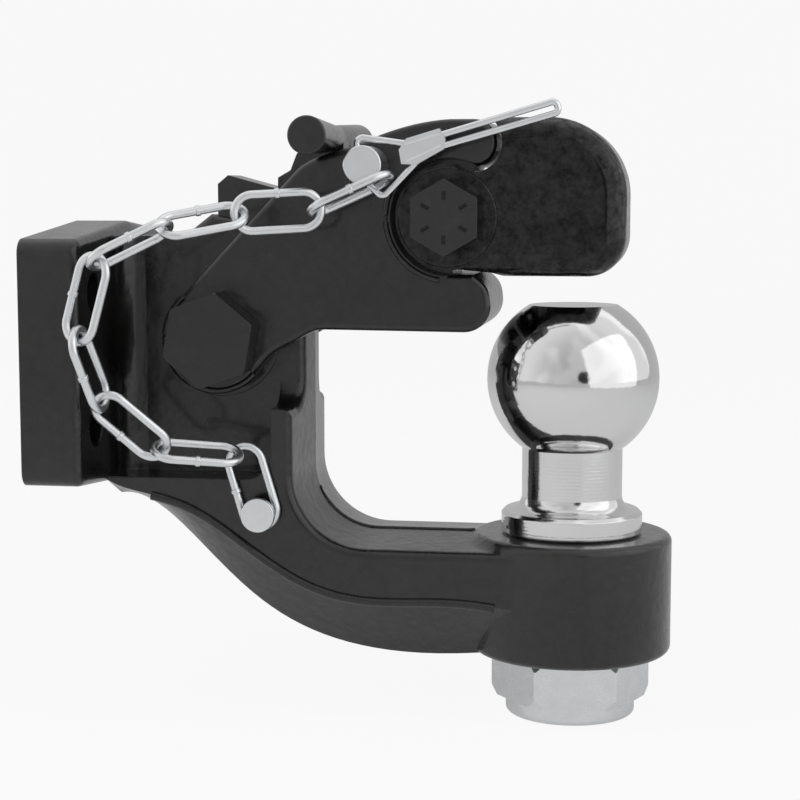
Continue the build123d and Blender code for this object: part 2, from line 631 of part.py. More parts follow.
def make_lock_lever():
    lever = slab(lever_face(), LEVER_HALF)
    cup = rod(PIN_X, PIN_Z, PIN_D + 2 * LEVER_PIN_GAP, -LEVER_CUP_HALF, LEVER_CUP_HALF)
    for step in range(LEVER_CUP_STEPS + 1):
        lever -= turned(cup, LEVER_LIFT_DEG * step / LEVER_CUP_STEPS, NOSE_BOLT_X, NOSE_BOLT_Z)
    half_bar = Pos(0, 0, HANDLE_HALF / 2) * Cone(HANDLE_MID_R, HANDLE_END_R, HANDLE_HALF)
    half_bar = fillet(half_bar.edges().sort_by(Axis.Z)[-1], HANDLE_EDGE_R)
    half_bar = Pos(HANDLE_X, 0, HANDLE_Z) * (Rot(90, 0, 0) * half_bar)
    lever += half_bar + mirror(half_bar, about=Plane.XZ)
    lever -= bore(NOSE_BOLT_X, NOSE_BOLT_Z, NOSE_BOLT_D + 2 * RUNNING_GAP)
    seat = Cylinder(SPRING_OD / 2 + SPRING_SEAT_GAP, PIN_Z, align=(Align.CENTER, Align.CENTER, Align.MIN))
    return lever - Pos(SPRING_X, 0, SPRING_SEAT_Z) * seat


def make_lock_spring():
    low = SPRING_SEAT_Z + SPRING_WIRE / 2 + SPRING_END_GAP
    high = ROOF_UNDER_Z - SPRING_WIRE / 2 - SPRING_END_GAP
    path = Helix(pitch=(high - low) / SPRING_TURNS, height=high - low, radius=(SPRING_OD - SPRING_WIRE) / 2)
    section = Plane(origin=path @ 0, z_dir=path % 0) * Circle(SPRING_WIRE / 2)
    return Pos(SPRING_X, 0, low) * sweep(section, path=path, is_frenet=True)


def make_pivot_hardware():
    """The jaw's pivot bolt with its washer and nut, across both of the jaw's ears."""
    x, z, seat = PIVOT_X, PIVOT_Z, JAW_HALF + SIDE_GAP
    nut_y = seat + PIVOT_WASHER_T
    head = hex_head(PIVOT_HEAD_AF, PIVOT_HEAD_H, PIVOT_HEAD_TURN)
    return {
        "pivot_bolt": bolt(x, z, PIVOT_BOLT_D, -seat, head, nut_y + PIVOT_NUT_H + BOLT_PROUD),
        "pivot_washer": ring(x, z, PIVOT_WASHER_D, PIVOT_BOLT_D + 2 * WASHER_GAP, seat, nut_y),
        "pivot_nut": nut(PIVOT_HEAD_AF, PIVOT_NUT_H, PIVOT_BOLT_D, x, nut_y, z),
    }


def make_nose_hardware():
    """The bolt that clamps the nose to the jaw and carries the lever, with its washer and nut."""
    x, z, nut_y = NOSE_BOLT_X, NOSE_BOLT_Z, NOSE_HALF + NOSE_WASHER_T
    head = hex_head(NOSE_HEAD_AF, NOSE_HEAD_H, NOSE_HEAD_TURN)
    return {
        "jaw_bolt": bolt(x, z, NOSE_BOLT_D, -NOSE_HALF, head, nut_y + NOSE_NUT_H + BOLT_PROUD),
        "jaw_washer": ring(x, z, NOSE_WASHER_D, NOSE_BOLT_D + 2 * WASHER_GAP, NOSE_HALF, nut_y),
        "jaw_nut": nut(NOSE_HEAD_AF, NOSE_NUT_H, NOSE_BOLT_D, x, nut_y, z),
    }


def make_tow_ball():
    radius, neck, shank, rim = BALL_D / 2, BALL_NECK_D / 2, BALL_SHANK_D / 2, BALL_FLANGE_D / 2
    flange_low, flange_high = BOSS_TOP_Z, BOSS_TOP_Z + BALL_FLANGE_H
    blend_start, blend_end = (neck + BALL_NECK_BLEND_R, flange_high), (neck, flange_high + BALL_NECK_BLEND_R)
    neck_high = BALL_Z - sqrt(radius ** 2 - neck ** 2)
    flat = (sqrt(radius ** 2 - BALL_FLAT_UP ** 2), BALL_Z + BALL_FLAT_UP)
    edges = [
        Polyline(
            (0, BALL_SHANK_END_Z),
            (shank - BALL_SHANK_CHAMFER, BALL_SHANK_END_Z),
            (shank, BALL_SHANK_END_Z + BALL_SHANK_CHAMFER),
            (shank, flange_low),
            (rim - BALL_FLANGE_LOW_EDGE, flange_low),
            (rim, flange_low + BALL_FLANGE_LOW_EDGE),
            (rim, flange_high - BALL_FLANGE_TOP_EDGE),
            (rim - BALL_FLANGE_TOP_EDGE, flange_high),
            blend_start,
        ),
        TangentArc(blend_start, blend_end, tangent=(-1, 0)),
        Line(blend_end, (neck, neck_high)),
        ThreePointArc((neck, neck_high), (radius, BALL_Z), flat),
        Polyline(flat, (0, flat[1]), (0, BALL_SHANK_END_Z)),
    ]
    return Pos(BALL_X, 0, 0) * revolve(Plane.XZ * make_face(Curve(edges).edges()), Axis.Z)


def hanging(radius, height):
    """A cylinder down from the origin."""
    return Cylinder(radius, height, align=(Align.CENTER, Align.CENTER, Align.MAX))


def make_ball_nut():
    """A hexagon with deep corner chamfers and a round collar that holds the locking insert."""
    corner_r = BALL_NUT_AF / sqrt(3)
    hexagon = extrude(RegularPolygon(corner_r, 6, rotation=BALL_NUT_TURN), -BALL_NUT_H)
    blank = hanging(corner_r - BALL_NUT_TRIM, BALL_NUT_H)
    blank = chamfer(blank.edges().filter_by(GeomType.CIRCLE), *BALL_NUT_LIP)
    height = BALL_NUT_H + BALL_COLLAR_H
    collar = hanging(BALL_COLLAR_D / 2, height)
    collar = fillet(collar.edges().sort_by(Axis.Z)[0], BALL_COLLAR_EDGE_R)
    seat = Pos(0, 0, BALL_INSERT_H - height) * hanging(insert_r(), BALL_INSERT_H)
    return Pos(BALL_X, 0, ARM_KEEL_Z) * ((hexagon & blank) + collar - shank_bore() - seat)


def shank_bore():
    return hanging(BALL_SHANK_D / 2 + BALL_SHANK_GAP, THROUGH)


def insert_r():
    return BALL_SHANK_D / 2 + BALL_INSERT_WALL


def make_ball_nut_insert():
    top_z = ARM_KEEL_Z - BALL_NUT_H - BALL_COLLAR_H + BALL_INSERT_H
    return Pos(BALL_X, 0, top_z) * (hanging(insert_r(), BALL_INSERT_H) - shank_bore())


def make_pin_bail():
    path = FilletPolyline(*[(x, BAIL_Y, z) for x, z in BAIL_BENDS], radius=BAIL_BEND_R)
    return sweep(Plane(origin=path @ 0, z_dir=path % 0) * Circle(BAIL_WIRE / 2), path=path)


def make_bail_clip(bail):
    """The pressed plate that holds the bail's two wires together."""
    return prism(polygon(*CLIP_OUTLINE), BAIL_Y - CLIP_HALF, BAIL_Y + CLIP_HALF) - bail


def bail_axis():
    """Unit direction of the pin's cross hole in XZ, from its upper mouth to its lower one."""
    (x1, z1), (x2, z2) = BAIL_BENDS[0], BAIL_BENDS[-1]
    length = sqrt((x2 - x1) ** 2 + (z2 - z1) ** 2)
    return (x2 - x1) / length, (z2 - z1) / length


def make_safety_pin():
    pin = rod(PIN_X, PIN_Z, PIN_D, PIN_NEAR_Y, PIN_FAR_Y)
    pin = chamfer(pin.edges().sort_by(Axis.Y)[-1], PIN_CHAMFER)
    pin = fillet(pin.edges().sort_by(Axis.Y)[0], PIN_END_R)
    along_x, along_z = bail_axis()
    hole = Plane(origin=(PIN_X, BAIL_Y, PIN_Z), z_dir=(along_x, 0, along_z)) * Cylinder(
        BAIL_WIRE / 2 + BAIL_HOLE_GAP, 2 * PIN_D
    )
    return pin - hole


def make_chain_anchor():
    shank = rod(ANCHOR_X, ANCHOR_Z, ANCHOR_D, ANCHOR_HEAD_Y + ANCHOR_HEAD_EDGE_R, ANCHOR_DEPTH - FLANGE_HALF)
    head = rod(ANCHOR_X, ANCHOR_Z, ANCHOR_HEAD_D, ANCHOR_HEAD_Y, ANCHOR_HEAD_Y + ANCHOR_HEAD_H)
    return shank + fillet(head.edges().sort_by(Axis.Y)[0], ANCHOR_HEAD_EDGE_R)


def make_link():
    """One link in its own frame: long along X, wide along Y, with its weld on one side."""
    bend = (LINK_WIDTH - LINK_WIRE) / 2
    straight = LINK_LENGTH / 2 - LINK_WIRE / 2 - bend
    path = Wire([
        Line((-straight, bend), (straight, bend)).edge(),
        ThreePointArc((straight, bend), (straight + bend, 0), (straight, -bend)).edge(),
        Line((straight, -bend), (-straight, -bend)).edge(),
        ThreePointArc((-straight, -bend), (-straight - bend, 0), (-straight, bend)).edge(),
    ])
    link = sweep(Plane(origin=(-straight, bend, 0), z_dir=(1, 0, 0)) * Circle(LINK_WIRE / 2), path=path)
    weld = Pos(0, bend, 0) * (Rot(0, 90, 0) * Cylinder(LINK_WELD_D / 2, LINK_WELD_LENGTH))
    return link + fillet(weld.edges().filter_by(GeomType.CIRCLE), LINK_WELD_EDGE_R)


def place_link(link, centre, along, roll):
    """Lays a link along a direction, its width turned by `roll` from facing the side view."""
    along = along.normalized()
    flat = along.cross(Vector(0, 1, 0)).normalized()
    width = flat * cos(radians(roll)) + along.cross(flat) * sin(radians(roll))
    return Plane(origin=centre, x_dir=along, z_dir=along.cross(width)).location * link


def make_chain():
    """Links 1 to 8 hang from the bail, and link 9 stands on the anchor."""
    link = make_link()
    last, follow = len(CHAIN_POINTS) - 1, CHAIN_ARM_HALF - FLANGE_HALF
    points = [Vector(x, y + follow * index / last, z) for index, (x, y, z) in enumerate(CHAIN_POINTS)]
    spans = zip(points, points[1:], CHAIN_ROLLS)
    chain = [place_link(link, (near + far) / 2, near - far, roll) for near, far, roll in spans]
    lean = radians(ANCHOR_LINK_LEAN)
    up = Vector(-sin(lean), 0, cos(lean))
    rise = (LINK_LENGTH - LINK_WIRE) / 2 - (ANCHOR_D + LINK_WIRE + LINK_PLAY) / 2
    chain.append(place_link(link, Vector(ANCHOR_X, ANCHOR_LINK_Y, ANCHOR_Z) + up * rise, up, 0))
    return {f"chain_link_{number}": placed for number, placed in enumerate(chain, 1)}


def all_nodes():
    bail = make_pin_bail()
    return {
        "hitch_body": make_hitch_body(),
        "upper_jaw": make_upper_jaw(),
        "jaw_nose": make_jaw_nose(),
        "lock_lever": make_lock_lever(),
        "lock_spring": make_lock_spring(),
        **make_pivot_hardware(),
        **make_nose_hardware(),
        "tow_ball": make_tow_ball(),
        "ball_nut": make_ball_nut(),
        "ball_nut_insert": make_ball_nut_insert(),
        "safety_pin": make_safety_pin(),
        "pin_bail": bail,
        "bail_clip": make_bail_clip(bail),
        "chain_anchor": make_chain_anchor(),
        **make_chain(),
    }


def main():
    os.makedirs("parts", exist_ok=True)
    for name, solid in all_nodes().items():
        solid.label = name
        export_step(solid, "parts/" + name + ".step")
        print(name, solid.is_valid, len(solid.solids()), round(solid.volume, 1))


if __name__ == "__main__":
    main()
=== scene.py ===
import math

import bmesh
import bpy
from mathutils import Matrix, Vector
from mathutils.bvhtree import BVHTree


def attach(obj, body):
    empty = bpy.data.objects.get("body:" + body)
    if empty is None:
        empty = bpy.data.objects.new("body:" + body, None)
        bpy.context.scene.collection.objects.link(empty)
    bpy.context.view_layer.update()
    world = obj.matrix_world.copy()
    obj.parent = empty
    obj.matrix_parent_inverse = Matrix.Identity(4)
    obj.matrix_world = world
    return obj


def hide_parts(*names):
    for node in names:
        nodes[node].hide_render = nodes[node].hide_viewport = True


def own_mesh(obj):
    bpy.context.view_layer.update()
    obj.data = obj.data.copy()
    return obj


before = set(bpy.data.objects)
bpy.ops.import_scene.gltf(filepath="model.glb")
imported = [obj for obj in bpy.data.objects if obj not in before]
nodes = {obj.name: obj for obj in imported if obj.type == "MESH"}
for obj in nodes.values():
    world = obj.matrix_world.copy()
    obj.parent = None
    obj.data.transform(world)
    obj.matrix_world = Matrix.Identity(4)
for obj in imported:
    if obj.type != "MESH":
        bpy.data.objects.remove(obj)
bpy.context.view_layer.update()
MM = 0.001

# Places and sizes on the hitch, in millimetres, as the solids have them
PIVOT_X, PIVOT_Z = 56.0, 6.0
PIVOT_BOLT_D = 19.05
PIVOT_THREAD_Y = (42.0, 43.9)
JAW_BOLT_X, JAW_BOLT_Z = 135.6, 47.3
JAW_BOLT_D = 14.0
JAW_THREAD_Y = (40.5, 42.4)
JAW_BOLT_HEAD_Y = -34.0
ARM_SIDE_Y = 30.0
LINK_COUNT = 9

# Raised lines on the castings, in millimetres: where each one's middle runs and how thick it is
LIP_LINE_Y, LIP_LINE_R, LIP_LINE_THICK_R = 22.3, 21.0, 1.0
LIP_LINE_DEG = (100.0, 262.0)
PIVOT_RING_Y, PIVOT_RING_R, PIVOT_RING_THICK_R = 21.9, 17.7, 1.2
PIVOT_RING_DEG = (128.0, 318.0)
RIDGE_THICK_R, KEEL_THICK_R = 1.5, 0.6
RIDGE_FROM_X, RIDGE_STEP_X, RIDGE_STEPS, KEEL_STEPS = 35.0, 2.5, 48, 44
# How far inside the arm's side a ridge is looked for, and how far its line then stands off
RIDGE_INSET_Y, RIDGE_OUT_Y, RIDGE_DOWN_Z = 0.2, 0.5, 0.3
# A height inside the arm above its ridges: it falls from this place with this slope, to a lowest value
INSIDE_ARM_X, INSIDE_ARM_Z, INSIDE_ARM_FALL, INSIDE_ARM_LOW_Z = 30.0, -43.0, 0.38, -74.0
INSIDE_KEEL_Z = -42.0

# Six plain dashes on the jaw bolt's head, from and to these distances from its middle
DASH_COUNT, DASH_INNER, DASH_OUTER, DASH_R = 6, 5.8, 8.6, 0.6
# The clip's two folds, each from one (x, z) to the other, on both faces of the clip
CLIP_FOLDS = (((123.4, 71.0), (134.6, 74.2)), ((124.0, 65.6), (135.2, 70.6)))
CLIP_FACES_Y = (-36.0, -32.0)
CLIP_FOLD_R = 0.45
# How deep the middle of a turn of thread sits in its bolt, and how thick the turn is
THREAD_SINK, THREAD_R = 0.05, 0.42
# Edges sharper than this stay sharp
SHARP_DEG = 40.0

# The studio floor's height, in millimetres
FLOOR_Z = -125.0
# The photograph's camera: place in millimetres, and the way it looks
CAMERA_PLACE = (216.1, -632.3, 56.5)
CAMERA_AZIMUTH_DEG, CAMERA_PITCH_DEG = 9.0, 6.5
CAMERA_LENS, CAMERA_SENSOR = 83.25, 36.0
# Towards the dim patch of the studio, a little right of the camera
DIM_PATCH = (0.30, -0.95, 0.10)

# Places in the lists of a node's outputs, and of the mix node's inputs, some of which share a name
GENERATED_PLACE, OBJECT_PLACE = 0, 3
CAMERA_RAY, GLOSSY_RAY, TRANSMISSION_RAY = 0, 3, 6
MIX_FACTOR, MIX_FIRST, MIX_SECOND, MIXED_COLOUR = 0, 6, 7, 2


# Camera and lights

def look(obj, place, target):
    obj.location = place
    obj.rotation_euler = (target - place).to_track_quat("-Z", "Y").to_euler()


def make_camera():
    azimuth, pitch = math.radians(CAMERA_AZIMUTH_DEG), math.radians(CAMERA_PITCH_DEG)
    data = bpy.data.cameras.new("photo_camera")
    data.sensor_width = CAMERA_SENSOR
    data.lens = CAMERA_LENS
    data.clip_start = 0.01
    camera = bpy.data.objects.new("photo_camera", data)
    bpy.context.scene.collection.objects.link(camera)
    place = Vector(CAMERA_PLACE) * MM
    level = math.cos(pitch)
    ahead = Vector((-math.sin(azimuth) * level, math.cos(azimuth) * level, -math.sin(pitch)))
    look(camera, place, place + ahead)
    bpy.context.scene.camera = camera


def make_softbox(name, place, target, size, watts, mirrored):
    """A soft rectangular light, in metres, that shows in reflections only where it is mirrored."""
    data = bpy.data.lights.new(name, "AREA")
    data.shape = "RECTANGLE"
    data.size, data.size_y = size
    data.energy = watts
    lamp = bpy.data.objects.new(name, data)
    lamp.visible_glossy = mirrored
    bpy.context.scene.collection.objects.link(lamp)
    look(lamp, Vector(place), Vector(target))


# Shader writing

class Value:
    """A shader socket that takes part in plain arithmetic."""

    def __init__(self, shader, socket):
        self.shader = shader
        self.socket = socket

    def maths(self, operation, *operands):
        return self.shader.node("ShaderNodeMath", {"operation": operation}, dict(enumerate(operands)))[0]

    def most(self, other):
        return self.maths("MAXIMUM", self, other)

    def __add__(self, other):
        return self.maths("ADD", self, other)

    def __radd__(self, other):
        return self.maths("ADD", other, self)

    def __sub__(self, other):
        return self.maths("SUBTRACT", self, other)

    def __rsub__(self, other):
        return self.maths("SUBTRACT", other, self)

    def __mul__(self, other):
        return self.maths("MULTIPLY", self, other)

    def __rmul__(self, other):
        return self.maths("MULTIPLY", other, self)

    def smooth(self, low, high):
        """0 below low, 1 above high, eased between."""
        sockets = {"Value": self, "From Min": low, "From Max": high}
        return self.shader.node("ShaderNodeMapRange", {"interpolation_type": "SMOOTHSTEP"}, sockets)[0]


class Shader:
    """One finish or the surroundings: its node tree, and a method that adds any node."""

    def __init__(self, owner):
        owner.use_nodes = True
        self.owner = owner
        self.tree = owner.node_tree
        self.tree.nodes.clear()

    def node(self, kind, settings=None, sockets=None):
        made = self.tree.nodes.new(kind)
        for key, value in (settings or {}).items():
            setattr(made, key, value)
        for key, value in (sockets or {}).items():
            if isinstance(value, Value):
                self.tree.links.new(value.socket, made.inputs[key])
            else:
                made.inputs[key].default_value = value
        return [Value(self, out) for out in made.outputs]

    def shows_backdrop(self, in_reflections=1.0):
        """1 for the camera, less in reflections and through glass, 0 for the light that falls on things."""
        ray = self.node("ShaderNodeLightPath")
        return ray[CAMERA_RAY].most(in_reflections * ray[GLOSSY_RAY].most(ray[TRANSMISSION_RAY]))

    def place(self):
        """Where a point of the surface is, in metres at rest."""
        return self.node("ShaderNodeTexCoord")[OBJECT_PLACE]

    def along(self, place, axis):
        return self.node("ShaderNodeSeparateXYZ", {}, {0: place})["XYZ".index(axis)]

    def stretched(self, place, scale):
        return self.node("ShaderNodeMapping", {}, {"Vector": place, "Scale": scale})[0]

    def noise(self, place, per_metre, detail, rough, distortion=0.0):
        sockets = {"Vector": place, "Scale": per_metre, "Detail": detail, "Roughness": rough,
                   "Distortion": distortion}
        return self.node("ShaderNodeTexNoise", {}, sockets)[0]

    def pits(self, place, per_metre):
        return self.node("ShaderNodeTexVoronoi", {"feature": "SMOOTH_F1"},
                         {"Vector": place, "Scale": per_metre})[0]

    def mixed(self, factor, first, second):
        sockets = {MIX_FACTOR: factor, MIX_FIRST: first, MIX_SECOND: second}
        return self.node("ShaderNodeMix", {"data_type": "RGBA"}, sockets)[MIXED_COLOUR]

    def rounded(self, radius):
        """The normal as if every edge were eased by a small radius."""
        return self.node("ShaderNodeBevel", {"samples": 6}, {"Radius": radius})[0]

    def bump(self, height, strength, distance, normal=None):
        sockets = {"Height": height, "Strength": strength, "Distance": distance}
        if normal is not None:
            sockets["Normal"] = normal
        return self.node("ShaderNodeBump", {}, sockets)[0]

    def finish(self, **sockets):
        names = {key.replace("_", " ").title().replace("Ior", "IOR"): value
                 for key, value in sockets.items()}
        surface = self.node("ShaderNodeBsdfPrincipled", {}, names)[0]
        self.node("ShaderNodeOutputMaterial", {}, {"Surface": surface})
        return self.owner


def new_shader(name):
    return Shader(bpy.data.materials.new(name))


def grey(level, warm=0.0):
    return (level * (1 + warm), level, level * (1 - warm), 1.0)


# Finishes

def black_casting(name, pit_depth, specular, full_gloss, pit_gloss, sheen, ease):
    """Gloss paint that has flowed over a sand casting, so the grain shows soft under it."""
    s = new_shader(name)
    place = s.place()
    grain = s.noise(place, per_metre=520.0, detail=4.0, rough=0.6)
    swell = s.noise(place, per_metre=55.0, detail=3.0, rough=0.5)
    pits = s.pits(place, per_metre=300.0)
    dust = s.noise(place, per_metre=1500.0, detail=2.0, rough=0.5)
    wear = s.noise(place, per_metre=38.0, detail=5.0, rough=0.62).smooth(0.42, 0.7)
    speckle = s.noise(place, per_metre=640.0, detail=3.0, rough=0.7).smooth(0.38, 0.66)
    colour = s.mixed(wear, grey(0.004, 0.04), grey(0.009, 0.06))
    roughness = sheen + 0.16 * (grain - 0.5) + 0.08 * wear + 0.06 * dust
    gloss = full_gloss - pit_gloss * (0.5 * speckle + 0.5 * pits.smooth(0.25, 0.75))
    waved = s.bump(swell, strength=0.5, distance=0.0011, normal=s.rounded(ease))
    pitted = s.bump(pits, strength=pit_depth, distance=0.0008, normal=waved)
    grained = s.bump(grain, strength=0.30, distance=0.0004, normal=pitted)
    return s.finish(base_color=colour, roughness=roughness, specular_ior_level=specular,
                    coat_weight=gloss, coat_roughness=0.10, coat_ior=1.5, normal=grained)


def black_hardware():
    """Semi-gloss paint on bolts, thinner than on the castings, so the edges stay crisp."""
    s = new_shader("black_fasteners")
    place = s.place()
    flow = s.noise(place, per_metre=160.0, detail=3.0, rough=0.5)
    grain = s.noise(place, per_metre=900.0, detail=4.0, rough=0.6)
    wear = s.noise(place, per_metre=120.0, detail=5.0, rough=0.65).smooth(0.5, 0.72)
    colour = s.mixed(wear, grey(0.005, 0.04), grey(0.011, 0.06))
    roughness = 0.24 + 0.16 * (grain - 0.5) + 0.1 * wear
    flowed = s.bump(flow, strength=0.35, distance=0.0008, normal=s.rounded(0.0005))
    grained = s.bump(grain, strength=0.22, distance=0.0003, normal=flowed)
    return s.finish(base_color=colour, roughness=roughness, specular_ior_level=0.50,
                    coat_weight=0.5, coat_roughness=0.10, normal=grained)


def ball_chrome():
    """Plating over a turned ball: the neck and flange keep faint turning rings."""
    s = new_shader("ball_chrome")
    place = s.place()
    neck_z, ball_z = -0.0405, -0.031
    turned = 1.0 - s.along(place, "Z").smooth(neck_z, ball_z)
    wave = {"Vector": place, "Scale": 260.0, "Distortion": 0.6, "Detail": 3.0, "Detail Scale": 2.0}
    rings = s.node("ShaderNodeTexWave", {"wave_type": "BANDS", "bands_direction": "Z"}, wave)[1]
    smudge = s.noise(place, per_metre=48.0, detail=5.0, rough=0.6)
    streak = s.noise(s.stretched(place, (1.0, 1.0, 0.16)), per_metre=420.0, detail=4.0, rough=0.6)
    colour = s.mixed(smudge, grey(0.74, 0.005), grey(0.86, -0.004))
    roughness = 0.075 + 0.07 * smudge.smooth(0.45, 0.8) + 0.10 * turned * streak
    waved = s.bump(smudge, strength=0.12, distance=0.0012, normal=s.rounded(0.0004))
    brushed = s.bump(streak * turned, strength=0.10, distance=0.0003, normal=waved)
    ringed = s.bump(rings * turned, strength=0.06, distance=0.0002, normal=brushed)
    return s.finish(base_color=colour, metallic=1.0, roughness=roughness, normal=ringed)


def zinc_plate(name, grain_per_metre, sheen, tint):
    """Bright zinc: silky, a little cloudy, with handling marks."""
    s = new_shader(name)
    place = s.place()
    cloud = s.noise(place, per_metre=190.0, detail=5.0, rough=0.62)
    grain = s.noise(place, per_metre=grain_per_metre, detail=4.0, rough=0.6)
    rub = s.noise(place, per_metre=90.0, detail=4.0, rough=0.6).smooth(0.5, 0.75)
    colour = s.mixed(cloud, tint, (0.90, 0.91, 0.92, 1.0))
    roughness = sheen + 0.16 * (cloud - 0.5) + 0.12 * (grain - 0.5) - 0.06 * rub
    grained = s.bump(grain, strength=0.12, distance=0.00025)
    return s.finish(base_color=colour, metallic=1.0, roughness=roughness, normal=grained)


def dark_nylon():
    s = new_shader("dark_nylon")
    place = s.place()
    grain = s.noise(place, per_metre=1200.0, detail=3.0, rough=0.5)
    patch = s.noise(place, per_metre=150.0, detail=3.0, rough=0.5)
    colour = s.mixed(patch, (0.022, 0.022, 0.026, 1.0), (0.04, 0.04, 0.045, 1.0))
    grained = s.bump(grain, strength=0.2, distance=0.0002)
    return s.finish(base_color=colour, roughness=0.5 + 0.2 * (patch - 0.5), normal=grained)


def stage_white():
    """The pale studio floor: near white to the camera, dimmer in reflections, with the part's shadow kept."""
    s = new_shader("studio_white")
    seen = 0.95 * s.shows_backdrop(in_reflections=0.42)
    lit = s.node("ShaderNodeBsdfDiffuse", {}, {"Color": grey(0.55)})[0]
    glow = s.node("ShaderNodeEmission", {}, {"Color": grey(0.98), "Strength": 1.0})[0]
    both = s.node("ShaderNodeMixShader", {}, {0: seen, 1: lit, 2: glow})[0]
    s.node("ShaderNodeOutputMaterial", {}, {"Surface": both})
    return s.owner


def make_world():
    """White cloth all round with soft folds, dimmer where the photographer stands, and the lens in it."""
    world = bpy.data.worlds.new("studio")
    bpy.context.scene.world = world
    s = Shader(world)
    toward = s.node("ShaderNodeTexCoord")[GENERATED_PLACE]
    facing = s.node("ShaderNodeVectorMath", {"operation": "DOT_PRODUCT"}, {0: toward, 1: DIM_PATCH})[1]
    folds = s.noise(toward, per_metre=1.1, detail=1.0, rough=0.4, distortion=0.9)
    cloth = s.mixed(folds.smooth(0.42, 0.60), grey(0.82), grey(1.10))
    dimmed = s.mixed(0.60 * facing.smooth(0.10, 0.95), cloth, grey(0.24))
    lens = s.mixed(facing.smooth(0.989, 0.994), dimmed, grey(0.03))
    tone = s.mixed(s.node("ShaderNodeLightPath")[CAMERA_RAY], lens, grey(0.97))
    white = s.node("ShaderNodeBackground", {}, {"Color": tone, "Strength": 1.0})[0]
    soft = s.node("ShaderNodeBackground", {}, {"Color": (0.98, 0.99, 1.0, 1.0), "Strength": 0.30})[0]
    both = s.node("ShaderNodeMixShader", {}, {0: s.shows_backdrop(), 1: soft, 2: white})[0]
    s.node("ShaderNodeOutputWorld", {}, {"Surface": both})


def dress(material, *names):
    """Gives CAD nodes their finish."""
    for name in names:
        mesh = nodes[name].data
        mesh.materials.clear()
        mesh.materials.append(material)


# Mesh writing

def put(name, bm, material, body):
    """Makes an object of a mesh, smooth but for its sharp edges, that rides on a body if one is named."""
    mesh = bpy.data.meshes.new(name)
    bmesh.ops.recalc_face_normals(bm, faces=bm.faces)
    bm.to_mesh(mesh)
    bm.free()
    obj = bpy.data.objects.new(name, mesh)
    bpy.context.scene.collection.objects.link(obj)
    for face in mesh.polygons:
        face.use_smooth = True
    mesh.set_sharp_from_angle(angle=math.radians(SHARP_DEG))
    mesh.materials.append(material)
    if body:
        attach(obj, body)
    return obj


def tube(bm, path, radius, sides=10):
    """A round bead along points, closed at both ends."""
    rows = []
    for index, point in enumerate(path):
        before, after = path[max(index - 1, 0)], path[min(index + 1, len(path) - 1)]
        turn = (after - before).to_track_quat("Z", "Y")
        row = []
        for side in range(sides):
            angle = math.tau * side / sides
            out = Vector((radius * math.cos(angle), radius * math.sin(angle), 0.0))
            row.append(bm.verts.new(point + turn @ out))
        rows.append(row)
    for low, high in zip(rows, rows[1:]):
        for side in range(sides):
            after = (side + 1) % sides
            bm.faces.new((low[side], low[after], high[after], high[side]))
    bm.faces.new(rows[0][::-1])
    bm.faces.new(rows[-1])


def arc_points(x, y, z, radius, start_deg, end_deg, steps):
    """Points round a Y axis, in metres, with angles from +X towards +Z."""
    found = []
    for step in range(steps + 1):
        angle = math.radians(start_deg + (end_deg - start_deg) * step / steps)
        found.append(Vector((x + radius * math.cos(angle), y, z + radius * math.sin(angle))) * MM)
    return found


def helix_points(x, z, radius, y_from, y_to, pitch, steps_per_turn=36):
    """Points of a thread round a Y axis, in metres."""
    count = int((y_to - y_from) / pitch * steps_per_turn)
    found = []
    for step in range(count + 1):
        angle = math.tau * step / steps_per_turn
        y = y_from + pitch * step / steps_per_turn
        found.append(Vector((x + radius * math.cos(angle), y, z + radius * math.sin(angle))) * MM)
    return found


def point_under(tree, x, y, from_z):
    """The point, in metres, where a line straight down inside the casting comes out, if it does."""
    return tree.ray_cast(Vector((x, y, from_z)) * MM, Vector((0.0, 0.0, -1.0)))[0]


# Pieces that the solids leave out

def make_stage(material):
    """A floor that curves up into the backdrop, in metres."""
    bm = bmesh.new()
    half, front, reach, bend, top, steps = 3.0, -3.0, 1.6, 0.6, 3.0, 12
    floor = FLOOR_Z * MM
    profile = [(front, floor), (reach, floor)]
    for step in range(1, steps + 1):
        turn = math.radians(90.0 * step / steps)
        profile.append((reach + bend * math.sin(turn), floor + bend * (1 - math.cos(turn))))
    profile.append((reach + bend, top))
    rows = [[bm.verts.new((x, y, z)) for x in (-half, half)] for y, z in profile]
    for low, high in zip(rows, rows[1:]):
        bm.faces.new((low[0], low[1], high[1], high[0]))
    stage = put("studio_floor", bm, material, None)


def make_thread(name, body, x, z, diameter, y_from, y_to, pitch, material):
    """The turns of thread that show beyond a nut."""
    bm = bmesh.new()
    path = helix_points(x, z, diameter / 2 - THREAD_SINK, y_from, y_to, pitch)
    tube(bm, path, THREAD_R * MM, sides=6)
    put(name, bm, material, body)


def make_head_dashes(material):
    """Short raised lines round the jaw bolt's head, as forging dies leave them."""
    bm = bmesh.new()
    centre = Vector((JAW_BOLT_X, JAW_BOLT_HEAD_Y, JAW_BOLT_Z))
    for number in range(DASH_COUNT):
        angle = math.tau * (number + 0.5) / DASH_COUNT
        out = Vector((math.cos(angle), 0.0, math.sin(angle)))
        distances = (DASH_INNER, (DASH_INNER + DASH_OUTER) / 2, DASH_OUTER)
        tube(bm, [(centre + out * distance) * MM for distance in distances], DASH_R * MM, sides=8)
    put("jaw_bolt_dashes", bm, material, "jaw")


def make_lip_beads(material):
    """The raised line along the jaw's lip, where it wraps the nose's ear on both sides."""
    bm = bmesh.new()
    for side in (-1, 1):
        path = arc_points(JAW_BOLT_X, side * LIP_LINE_Y, JAW_BOLT_Z, LIP_LINE_R, *LIP_LINE_DEG, steps=48)
        tube(bm, path, LIP_LINE_THICK_R * MM)
    put("jaw_lip_beads", bm, material, "jaw")


